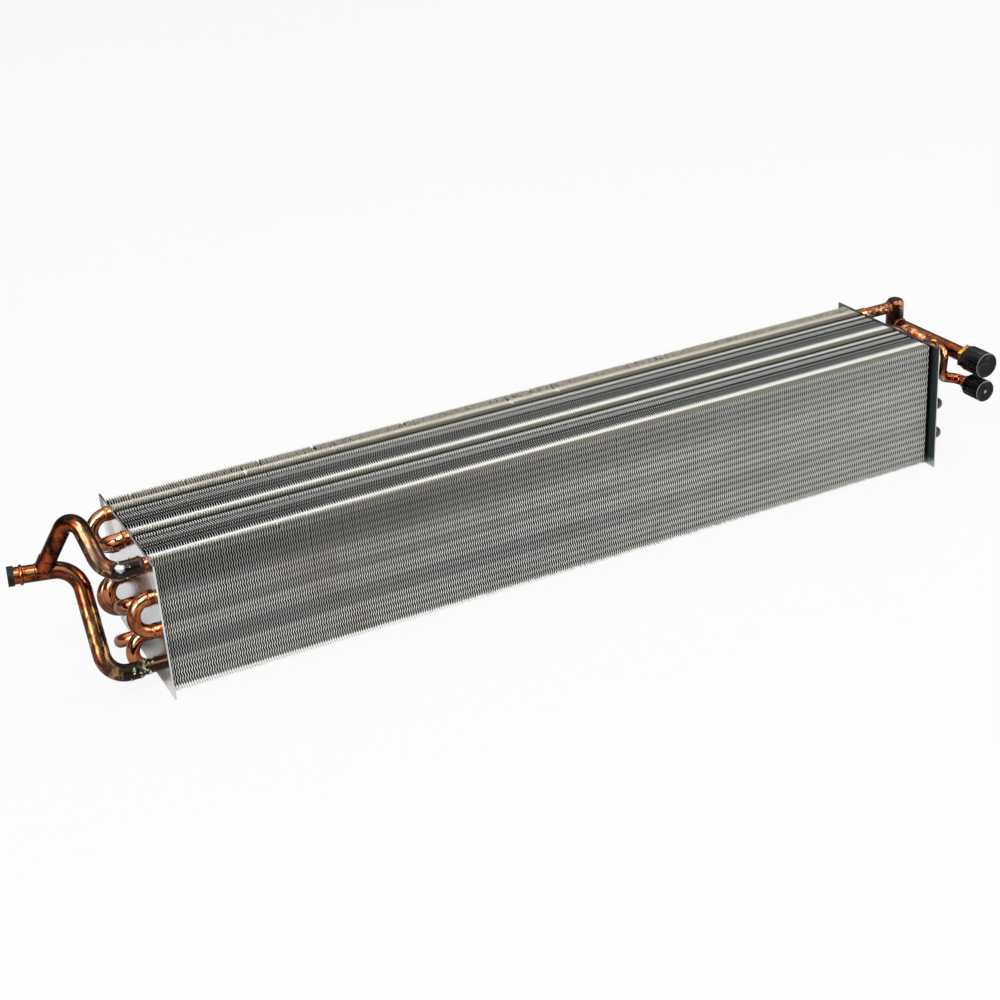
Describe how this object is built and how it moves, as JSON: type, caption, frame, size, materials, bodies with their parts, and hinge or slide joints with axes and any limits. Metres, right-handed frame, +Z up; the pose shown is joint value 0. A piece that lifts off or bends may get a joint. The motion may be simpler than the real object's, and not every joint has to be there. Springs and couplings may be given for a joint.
{
  "type": "evaporator coil",
  "caption": "Finned-tube evaporator coil with staggered copper tubes between two end plates, a crossover fork with a plugged port, and capped suction and liquid fittings",
  "frame": {"origin": "On the underside of the fin pack, midway between the outer faces of the two end plates and midway along their depth", "axes": "X along the tubes, +X towards the suction header and the fittings, -X towards the return bends; -Y the front where the caps face; +Z up, away from the underside it rests on"},
  "size_m": [0.7726, 0.137, 0.1311],
  "materials": {
    "end_plate": "bright rolled sheet",
    "fins": "thin rolled foil, slightly dulled",
    "copper_tube": "drawn copper tube, oxidised near the joints",
    "copper_bend": "bright bent copper tube",
    "copper_fork": "heat-stained copper tube with flux at the joints",
    "copper_line": "copper tube, darkened by brazing",
    "copper_header": "blotched oxidised copper",
    "brass_fitting": "turned brass",
    "black_cap": "black moulded plastic",
    "black_plug": "black rubber"
  },
  "bodies": {
    "root": {"left_end_plate": "end_plate", "right_end_plate": "end_plate", "fin_pack": "fins", "hairpin_tube_1": "copper_tube", "hairpin_tube_2": "copper_tube", "hairpin_tube_3": "copper_tube", "hairpin_tube_4": "copper_tube", "hairpin_tube_5": "copper_tube", "hairpin_tube_6": "copper_tube", "hairpin_tube_7": "copper_tube", "hairpin_tube_8": "copper_tube", "hairpin_tube_9": "copper_tube", "suction_tube": "copper_tube", "liquid_tube": "copper_tube", "return_bend_1": "copper_bend", "return_bend_2": "copper_bend", "return_bend_3": "copper_bend", "return_bend_4": "copper_bend", "return_bend_5": "copper_bend", "return_bend_6": "copper_bend", "return_bend_7": "copper_bend", "return_bend_8": "copper_bend", "return_bend_9": "copper_bend", "crossover_tube": "copper_fork", "branch_tube": "copper_fork", "suction_line": "copper_line", "liquid_elbow": "copper_line", "strainer": "copper_line", "thin_tube": "copper_line", "liquid_line": "copper_line", "suction_header": "copper_header", "suction_fitting": "brass_fitting", "liquid_fitting": "brass_fitting", "suction_cap": "black_cap", "liquid_cap": "black_cap", "port_plug": "black_plug"}
  },
  "joints": []
}
